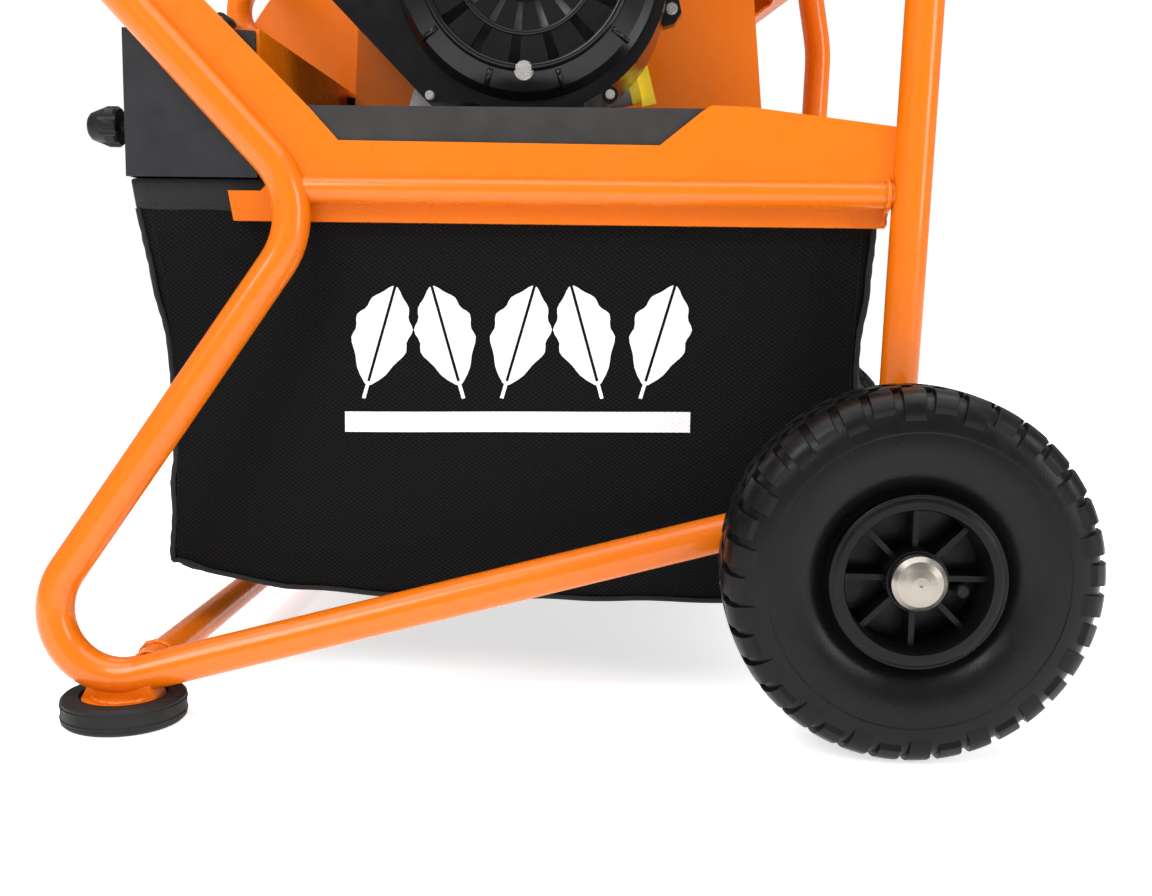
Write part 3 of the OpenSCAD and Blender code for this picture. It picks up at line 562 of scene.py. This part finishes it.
skin_mesh = bmesh.new()
skin_mesh.from_mesh(bag.data)
skin = BVHTree.FromBMesh(skin_mesh)
# How far off the skin a point starts before it is dropped on it
APPROACH = 0.05


def on_skin(point, direction, lift):
    """Drops a point on the bag's skin along the direction, then lifts it off by lift."""
    start = Vector(point) - Vector(direction) * APPROACH
    hit, normal, _, _ = skin.ray_cast(start, Vector(direction))
    if hit is None:
        return Vector(point)
    if normal.dot(Vector(direction)) > 0:
        normal = -normal
    return hit + normal * lift


def outward(share, side):
    """Level direction away from the bag at a point of its rim."""
    return Vector(((share == 1.0) - (share == 0.0), (side == 1.0) - (side == -1.0), 0)).normalized()


# Hem: a folded band of cloth sewn round the top of the bag
HEM_SECTION = ((0.0, 0.0002), (0.001, 0.0011), (0.012, 0.0012), (0.0235, 0.0011), (0.0245, 0.0001))
hem = Batch()
hem_rows = []
for depth, lift in HEM_SECTION:
    row = []
    for index, (share, side) in enumerate(RIM):
        wavy = 0.0007 * math.sin(index * 0.9) * (depth > 0.02)
        base = bag_point(share, side, (depth + wavy) / (TOP - BOTTOM))
        row.append(base + outward(share, side) * lift)
    hem_rows += row
hem.add(hem_rows, grid_faces(len(HEM_SECTION), len(RIM), True))
hem_piece = hem.done("bag_hem", TAPE, "bag")

# Stitches: short raised threads in rows along the hem
THREAD_R = 0.00032
stitches = Batch()


def stitch(a, b):
    """One raised thread from a to b, thickest in the middle."""
    mid = (a + b) / 2
    ahead = (b - a).normalized()
    side = ahead.cross(Vector((0, 0, 1)))
    side = side.normalized() if side.length > 0.1 else Vector((1, 0, 0))
    other = ahead.cross(side)
    ring = [mid + side * THREAD_R, mid + other * THREAD_R, mid - side * THREAD_R, mid - other * THREAD_R]
    faces = [(0, 1, 2), (0, 2, 3), (0, 3, 4), (0, 4, 1), (5, 2, 1), (5, 3, 2), (5, 4, 3), (5, 1, 4)]
    stitches.add([a, *ring, b], faces)


for depth in (0.0035, 0.021):
    loop = [bag_point(s, y, depth / (TOP - BOTTOM)) + outward(s, y) * 0.0014 for s, y in RIM]
    for a, b in zip(loop, loop[1:] + loop[:1]):
        for k in range(2):
            stitch(a.lerp(b, k / 2 + 0.06), a.lerp(b, k / 2 + 0.4))

# Binding: piped seams down the four corners and round the bottom
SEAM_STEPS = 45
binding = Batch()
for share, side in ((0.0, -1.0), (0.0, 1.0), (1.0, -1.0), (1.0, 1.0)):
    path = []
    for i in range(SEAM_STEPS + 1):
        base = bag_point(share, side, 0.075 + 0.915 * i / SEAM_STEPS)
        away = Vector((-1 if share == 0 else 1, side, 0)).normalized()
        hit = skin.find_nearest(base)[0]
        path.append(hit + away * 0.0006 + Vector((0, 0, 0.0002 * math.sin(i * 2.1))))
    binding.sweep(path, lambda t: 0.0023 + 0.0003 * math.sin(t * 160), 8)
bottom = []
for share, side in RIM:
    base = bag_point(share, side, 1.0)
    bottom.append(skin.find_nearest(base)[0] + Vector((0, 0, 0.0012)))
binding.sweep(bottom, 0.0021, 8, closed=True)
binding_piece = binding.done("bag_binding", TAPE, "bag")

# Stitched lines beside the corner seams, on the near and far faces
SEAM_STITCHES = 119
for side in (-1, 1):
    for share in (0.022, 0.978):
        line = []
        for i in range(SEAM_STITCHES + 1):
            base = bag_point(share, side, 0.09 + 0.88 * i / SEAM_STITCHES)
            line.append(on_skin(base, (0, -side, 0), 0.0003))
        for a, b in zip(line, line[1:]):
            stitch(a.lerp(b, 0.1), a.lerp(b, 0.75))

# Print: five plain leaves over a bar, the maker-neutral mark on the bag's side
# Its sizes are in metres, in the plane of the bag's side
LEAVES = 5
LEAF_HEIGHT, LEAF_HALF_WIDTH = 0.079, 0.0235
LEAF_TILT = math.radians(16)
MIDRIB = 0.0011
STEM_FOOT, STEM_LENGTH, STEM_HALF = -0.044, 0.014, 0.0014
MARK_LEFT, MARK_RIGHT = -0.151, 0.119
MARK_TOP, MARK_FOOT = 0.322, 0.235
MARK_SLOPE = 0.0155
BAR_TOP, BAR_FOOT = 0.2258, 0.2098
PRINT_LIFT = 0.0009


def tilted(centre, tilt, x, z):
    """The point (x, z) turned by the tilt and moved to the centre."""
    return (centre[0] + x * math.cos(tilt) - z * math.sin(tilt),
            centre[1] + x * math.sin(tilt) + z * math.cos(tilt))


def leaf_half(centre, tilt, hand):
    """One half of a leaf blade, from the midrib outwards, as (x, z) rows."""
    rows = []
    for i in range(23):
        t = i / 22
        width = LEAF_HALF_WIDTH * math.sin(math.pi * min(1, t * 0.97 + 0.015)) ** 0.75 * (1.15 - 0.45 * t)
        width *= 1 + 0.07 * math.sin(t * 26)
        row = []
        for j in range(6):
            x = hand * (MIDRIB + (width - MIDRIB) * j / 5)
            z = (t - 0.42) * LEAF_HEIGHT + abs(x) * 0.35
            row.append(tilted(centre, tilt, x, z))
        rows.append(row)
    return rows


def add_print(batch, rows, side):
    """Lays rows of (x, z) points on the bag's side; the whole mark rises a little towards +X."""
    middle = (MARK_LEFT + MARK_RIGHT) / 2
    verts = []
    for row in rows:
        for x, z in row:
            rise = MARK_SLOPE * (x - middle)
            verts.append(on_skin((x, side * HALF, z + rise), (0, -side, 0), PRINT_LIFT))
    batch.add(verts, grid_faces(len(rows), len(rows[0])))


for side, label in ((-1, "right"), (1, "left")):
    mark = Batch()
    for i in range(LEAVES):
        centre = (MARK_LEFT + (MARK_RIGHT - MARK_LEFT) * (i + 0.5) / LEAVES, (MARK_TOP + MARK_FOOT) / 2)
        tilt = LEAF_TILT if i % 2 else -LEAF_TILT
        for hand in (-1, 1):
            add_print(mark, leaf_half(centre, tilt, hand), side)
        stem = []
        for k in range(8):
            z = STEM_FOOT + STEM_LENGTH * k / 7
            stem.append([tilted(centre, tilt, x, z) for x in (-STEM_HALF, STEM_HALF)])
        add_print(mark, stem, side)
    bar = [[(MARK_LEFT + (MARK_RIGHT - MARK_LEFT) * i / 60, BAR_TOP + (BAR_FOOT - BAR_TOP) * j / 4)
            for j in range(5)] for i in range(61)]
    add_print(mark, bar, side)
    mark.done("bag_print_" + label, PRINT, "bag")

# Strap handle sewn to the bag's end, bowed out for a hand
STRAP_Z = 0.305
STRAP_HALF = 0.085
STRAP_BOW = 0.02
STRAP_STEPS = 32
strap = Batch()
strap_path = []
strap_x = between(FRONT, STRAP_Z) - 0.001
for i in range(STRAP_STEPS + 1):
    t = i / STRAP_STEPS
    bow = max(0.0, math.sin(math.pi * (t - 0.12) / 0.76)) if 0.12 < t < 0.88 else 0.0
    out_x = strap_x - 0.0022 - STRAP_BOW * bow ** 0.7
    strap_path.append((out_x, STRAP_HALF * (2 * t - 1), STRAP_Z - 0.004 * bow))
strap.sweep(strap_path, 0.0145, 12, flat=0.1)
strap_piece = strap.done("bag_strap", TAPE, "bag")
for y in (-0.083, -0.068, 0.068, 0.083):
    for k in range(7):
        z = 0.2935 + 0.0033 * k
        stitch(Vector((strap_x - 0.0045, y, z)), Vector((strap_x - 0.0045, y, z + 0.0022)))
stitch_piece = stitches.done("bag_stitches", THREAD, "bag", smooth=False)

skin_mesh.free()
top_loop = [bag_point(share, side, 0) for share, side in RIM]

# ---------------------------------------------------------------- wheels

# Sections in millimetres, as (distance from the wheel's middle plane, radius)
CASING = [
    (0, 126.6), (20, 126.2), (29, 124.7), (35.5, 120.4), (39, 115), (41, 109), (42.2, 104),
    (42.4, 101.8), (41.9, 101.2), (42.3, 97), (42.4, 92), (42, 87), (41.1, 82), (39.6, 77.4),
    (37.5, 73), (34.8, 69), (31.8, 65.6), (29, 63), (27, 60.4), (26.2, 57.4)
]
SHOULDER = [(17, 129.7), (24, 129.2), (30, 128), (34, 126), (37, 124), (40.2, 118.5), (41.6, 112.5)]
MIDDLE_LUG = [(2.2, 130), (8, 129.9), (14, 129.8)]
TREAD_PAIRS = 36
# The inner tube's valve, in metres: its turn and distance from the axle, and its (height, radius)
VALVE_TURN = -0.24
VALVE_OUT = 0.034
VALVE_SECTION = [
    (0.006, 0.0052), (0.012, 0.0046), (0.018, 0.0040), (0.022, 0.0038), (0.0225, 0.0044),
    (0.03, 0.0044), (0.0305, 0.003)
]


def wheel_place(side):
    """Middle of the wheel, with local Z turned away from the machine."""
    centre = box_middle("tyre_right" if side < 0 else "tyre_left")
    return Matrix.Translation(centre) @ Matrix.Rotation(math.radians(-90 * side), 4, "X")


def tread_block(batch, place, angle, spread, path, hand, skew=0.0, sink=6.5):
    """A rubber lug: its top follows the path across the tyre, its sides go down into the casing."""
    steps = 4
    top, foot = [], []
    for index, (y, r) in enumerate(path):
        for k in range(steps + 1):
            u = k / steps * 2 - 1
            turn = angle + skew * index / (len(path) - 1)
            for ring, width, drop in ((top, 0.9, 0), (foot, 1.0, sink)):
                a = turn + u * spread * width
                rr, yy = (r - drop) / 1000, (y * (1 - drop * 0.006)) / 1000 * hand
                ring.append(place @ Vector((rr * math.cos(a), rr * math.sin(a), yy)))
    rows, columns = len(path), steps + 1
    faces = grid_faces(rows, columns)
    edge = list(range(columns)) + [r * columns + columns - 1 for r in range(1, rows)]
    edge += [(rows - 1) * columns + c for c in range(columns - 2, -1, -1)]
    edge += [r * columns for r in range(rows - 2, 0, -1)]
    count = len(top)
    for a, b in zip(edge, edge[1:] + edge[:1]):
        faces.append((a, b, b + count, a + count))
    batch.add(top + foot, faces)


for side, label in ((-1, "right"), (1, "left")):
    place = wheel_place(side)
    body = "wheel_" + label
    tyre = Batch()
    profile = [(r / 1000, y / 1000) for y, r in CASING]
    profile = [(r, -y) for r, y in profile[:0:-1]] + profile
    tyre.lathe(profile + [profile[0]], place, 128)
    half_turn = math.pi / TREAD_PAIRS
    for i in range(TREAD_PAIRS):
        for hand in (-1, 1):
            angle = 2 * math.pi * i / TREAD_PAIRS + half_turn * 0.5 * hand
            path = SHOULDER if i % 2 else SHOULDER[:-1]
            tread_block(tyre, place, angle, half_turn * 0.78, path, hand, half_turn * 0.2)
            tread_block(tyre, place, angle + half_turn * 0.9, half_turn * 0.7, MIDDLE_LUG, hand,
                        half_turn * 0.5)
    tyre_piece = tyre.done("tyre_tread_" + label, TYRE, body)
    round_edges(tyre_piece, "lug_edges", 0.0007, 2, 35)
    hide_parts("tyre_" + label)
    valve = Batch()
    valve_x, valve_y = VALVE_OUT * math.cos(VALVE_TURN), VALVE_OUT * math.sin(VALVE_TURN)
    stem_path = [place @ Vector((valve_x, valve_y, z)) for z, _ in VALVE_SECTION]
    valve.sweep(stem_path, lambda t: VALVE_SECTION[int(t * len(VALVE_SECTION) + 0.01)][1], 16)
    valve.done("valve_" + label, RUBBER, body)
    seat = Batch()
    for z in (0.0405, -0.0405):
        seat.lathe(bead_profile(0.0585, z, 0.0016, 0.0016, 10), place, 96)
    seat.done("rim_bead_" + label, RIM_BLACK, body)

# ---------------------------------------------------------------- weld beads and small dressings

WELD_STEP = 0.0016
welds = Batch()


def weld_bead(path, steps, bead, closed=False):
    """Sweeps a rippled bead along the path."""
    welds.sweep(path, lambda t: bead * (1 + 0.16 * math.sin(t * steps * 1.35)), 8, closed)


def weld_ring(centre, axis, radius, bead):
    """A bead all round a joint."""
    axis = Vector(axis).normalized()
    helper = Vector((0, 0, 1)) if abs(axis.z) < 0.9 else Vector((1, 0, 0))
    u = axis.cross(helper).normalized()
    v = axis.cross(u)
    steps = max(24, int(radius * 2 * math.pi / WELD_STEP))
    turns = [2 * math.pi * i / steps for i in range(steps)]
    path = [Vector(centre) + (u * math.cos(a) + v * math.sin(a)) * radius for a in turns]
    weld_bead(path, steps, bead, closed=True)


def weld_line(a, b, bead):
    """A straight bead from a to b."""
    steps = max(8, int((Vector(b) - Vector(a)).length / WELD_STEP))
    path = [Vector(a).lerp(Vector(b), i / steps) for i in range(steps + 1)]
    weld_bead(path, steps, bead)


handle_mid = box_middle("handle_tube")
cross_mid = box_middle("top_cross_tube")
pad_low, pad_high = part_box("foot_pads")
pad_x = (pad_low[0] + pad_high[0]) / 2
pad_y = pad_high[1] - (pad_high[0] - pad_low[0]) / 2
# Inner faces of the side frames' tubes in Y, and the uprights' face towards the bag in X
FRAME_Y = 0.2598
UPRIGHT_X = 0.2575
# Welded joints of one side, as (centre, axis, radius of the ring, bead)
WELD_RINGS = [
    ((handle_mid[0], FRAME_Y, handle_mid[2]), (0, 1, 0), 0.0148, 0.0021),  # handle tube
    ((cross_mid[0], FRAME_Y, cross_mid[2]), (0, 1, 0), 0.0148, 0.0021),  # top cross tube
    ((UPRIGHT_X, 0.2694, 0.393), (1, 0, 0), 0.0108, 0.0021),  # rail tube on the upright
    ((pad_x, pad_y, 0.0178), (0, 0, 1), 0.0225, 0.0018),  # ring on the foot's plate
    ((-0.2816, 0.306, 0.040), (0, 1, 0), 0.0132, 0.0021),  # foot beam on the side frame
    ((UPRIGHT_X, 0.2735, 0.171), (1, 0, 0.25), 0.0148, 0.0021),  # lower tube on the upright
]
# And the straight ones, as (start, end, bead)
WELD_LINES = [
    ((UPRIGHT_X, 0.2712, 0.405), (0.2600, 0.2712, 0.440), 0.002),  # side plate on the upright
    ((-0.19, 0.2600, 0.3915), (UPRIGHT_X, 0.2600, 0.3915), 0.0013),  # bag rail on the rail tube
    ((0.2580, 0.2585, 0.371), (0.2600, 0.2585, 0.391), 0.002),  # end of the bag rail
]
for side in (-1, 1):
    for (x, y, z), axis, radius, bead in WELD_RINGS:
        weld_ring((x, side * y, z), axis, radius, bead)
    for (x0, y0, z0), (x1, y1, z1), bead in WELD_LINES:
        weld_line((x0, side * y0, z0), (x1, side * y1, z1), bead)
welds.done("weld_beads", ORANGE, "machine")

# Ribs moulded round the rubber feet
ribs = Batch()
for side in (-1, 1):
    for z in (0.0055, 0.0145):
        place = Matrix.Translation((pad_x, side * pad_y, 0))
        ribs.lathe(bead_profile(0.0449, z, 0.0007, 0.0009, 8), place, 96)
ribs.done("foot_ribs", RUBBER, "machine")

# Rings, spokes and a boss moulded on the recoil starter's cover
shaft_x, _, shaft_z = box_middle("recoil_cover")
face_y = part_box("recoil_cover")[0][1]
facing = Matrix.Translation((shaft_x, face_y, shaft_z)) @ Matrix.Rotation(math.radians(90), 4, "X")
# Radius, height and half width of each ring, and (radius, height) of the boss
GRILLE_RINGS = ((0.0275, 0.003, 0.0024), (0.053, 0.0016, 0.0022), (0.0785, 0.0042, 0.0032))
BOSS = [(0.0, 0.0032), (0.014, 0.0032), (0.019, 0.0026), (0.0235, 0.0012), (0.0245, -0.0005)]
SPOKES = 10
grille = Batch()
for r, h, half in GRILLE_RINGS:
    section = [(r - half, -0.0005), (r - half * 0.7, h * 0.8), (r - half * 0.3, h),
               (r + half * 0.3, h), (r + half * 0.7, h * 0.8), (r + half, -0.0005)]
    grille.lathe(section, facing, 128)
grille.lathe(BOSS, facing, 96)
for k in range(SPOKES):
    a = 2 * math.pi * k / SPOKES
    inner = facing @ Vector((0.084 * math.cos(a), 0.084 * math.sin(a), 0.0))
    outer = facing @ Vector((0.0985 * math.cos(a), 0.0985 * math.sin(a), -0.0062))
    grille.sweep([inner, inner.lerp(outer, 0.5), outer], 0.0022, 8)
grille.done("starter_grille", GLOSS_BLACK, "machine")


def smooth_path(route, steps):
    """A curve through the points of the route, with the same steps between each two."""
    points = [Vector(point) for point in (route[0], *route, route[-1])]
    path = []
    for p0, p1, p2, p3 in zip(points, points[1:], points[2:], points[3:]):
        for k in range(steps):
            t = k / steps
            path.append(0.5 * (2 * p1 + (p2 - p0) * t + (2 * p0 - 5 * p1 + 4 * p2 - p3) * t * t
                               + (3 * p1 - p0 - 3 * p2 + p3) * t ** 3))
    return path + [points[-1]]


# Fuel hose from the tank down to the carburettor, with a wire clip near each end
HOSE_ROUTE = [
    (-0.06, -0.08, 0.703), (-0.07, -0.082, 0.689), (-0.10, -0.09, 0.682), (-0.135, -0.09, 0.68),
    (-0.158, -0.084, 0.676), (-0.16, -0.078, 0.666)
]
HOSE_R = 0.0034
CLIP_R, CLIP_WIRE = 0.004, 0.0007
hose_path = smooth_path(HOSE_ROUTE, 6)
hose = Batch()
hose.sweep(hose_path, HOSE_R, 12)
hose.done("fuel_hose", RUBBER, "machine")
clips = Batch()
turns = [2 * math.pi * k / 24 for k in range(24)]
for at in (3, len(hose_path) - 4):
    ahead = (hose_path[at + 1] - hose_path[at]).normalized()
    u = ahead.orthogonal().normalized()
    v = ahead.cross(u)
    ring = [hose_path[at] + (u * math.cos(a) + v * math.sin(a)) * CLIP_R for a in turns]
    clips.sweep(ring, CLIP_WIRE, 6, True)
clips.done("hose_clips", STEEL, "machine")

# Washers on the axle, between the wheels and the uprights
AXLE_X, AXLE_Z = 0.267, 0.13
WASHER_Y = 0.2876
WASHER_SECTION = [(0.0101, 0.0), (0.017, 0.0), (0.0172, 0.0004), (0.017, 0.0008), (0.0101, 0.0008)]
hardware = Batch()
for side in (-1, 1):
    place = Matrix.Translation((AXLE_X, side * WASHER_Y, AXLE_Z))
    hardware.lathe(WASHER_SECTION, place @ Matrix.Rotation(math.radians(-90 * side), 4, "X"), 64)
hardware.done("axle_washers", STEEL, "machine")

# Starter cord: a straight cord in the CAD rope's place, running from the recoil cover up to the handle
CORD_STEPS = 24
rope_low, rope_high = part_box("starter_rope")
rope_x, rope_y, _ = box_middle("starter_rope")
rope_length = rope_high[2] - rope_low[2]
cord_path = [(rope_x, rope_y, rope_low[2] + rope_length * i / CORD_STEPS) for i in range(CORD_STEPS + 1)]
cord = Batch()
cord.sweep(cord_path, lambda t: 0.0019 + 0.00012 * math.sin(t * 150), 12)
cord_piece = cord.done("starter_cord", ROPE, None)
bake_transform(cord_piece)
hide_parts("starter_rope")

# End collars on the foam grip
collars = Batch()
foam_low, foam_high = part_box("handle_grip")
for y in (foam_low[1], foam_high[1]):
    place = Matrix.Translation((handle_mid[0], y, handle_mid[2])) @ Matrix.Rotation(math.pi / 2, 4, "X")
    collars.lathe(bead_profile(0.0166, 0.0, 0.0018, 0.0028, 12), place, 64)
collars.done("grip_collars", RUBBER, "machine")

# ---------------------------------------------------------------- floor and light

# The floor glows a little, so that it stays white round the machine
FLOOR_GLOW = 0.68
bpy.ops.mesh.primitive_plane_add(size=40, location=(0, 0, -0.0005))
floor = bpy.context.object
floor.name = "floor"
white = Nodes("floor_white")
white.set("Base Color", white.mix(white.noise(2, 2), rgb(0.93, 0.93, 0.93), rgb(0.95, 0.95, 0.95)))
white.set("Roughness", 0.85)
white.set("Emission Color", rgb(1.0, 1.0, 1.0))
white.set("Emission Strength", FLOOR_GLOW)
floor.data.materials.append(white.material)

# The backdrop is seen brighter than it shines
WORLD_SHINE, WORLD_SEEN = 0.36, 1.02
world = bpy.data.worlds.new("studio")
world.use_nodes = True
backdrop = world.node_tree.nodes["Background"]
backdrop.inputs["Color"].default_value = (1.0, 1.0, 1.0, 1)
seen = world.node_tree.nodes.new("ShaderNodeLightPath").outputs["Is Camera Ray"]
brightness = world.node_tree.nodes.new("ShaderNodeMapRange")
brightness.inputs["To Min"].default_value = WORLD_SHINE
brightness.inputs["To Max"].default_value = WORLD_SEEN
world.node_tree.links.new(seen, brightness.inputs["Value"])
world.node_tree.links.new(brightness.outputs[0], backdrop.inputs["Strength"])
scene.world = world
scene.view_settings.view_transform = "Standard"
scene.view_settings.look = "None"
scene.view_settings.exposure = 0.0


def softbox(name, at, target, size, power):
    """A rectangular lamp of the given size and watts, aimed at the target."""
    light = bpy.data.lights.new(name, "AREA")
    light.shape = "RECTANGLE"
    light.size, light.size_y = size
    light.energy = power
    obj = bpy.data.objects.new(name, light)
    scene.collection.objects.link(obj)
    obj.location = at
    obj.rotation_euler = (Vector(target) - Vector(at)).to_track_quat("-Z", "Y").to_euler()


softbox("key", (-1.5, -2.6, 2.4), (0, 0, 0.35), (1.5, 1.5), 70)
softbox("fill", (2.6, -1.8, 1.3), (0.1, 0, 0.4), (0.9, 1.8), 42)
softbox("top", (0.0, -0.1, 3.2), (0, 0, 0.0), (4.2, 3.6), 150)
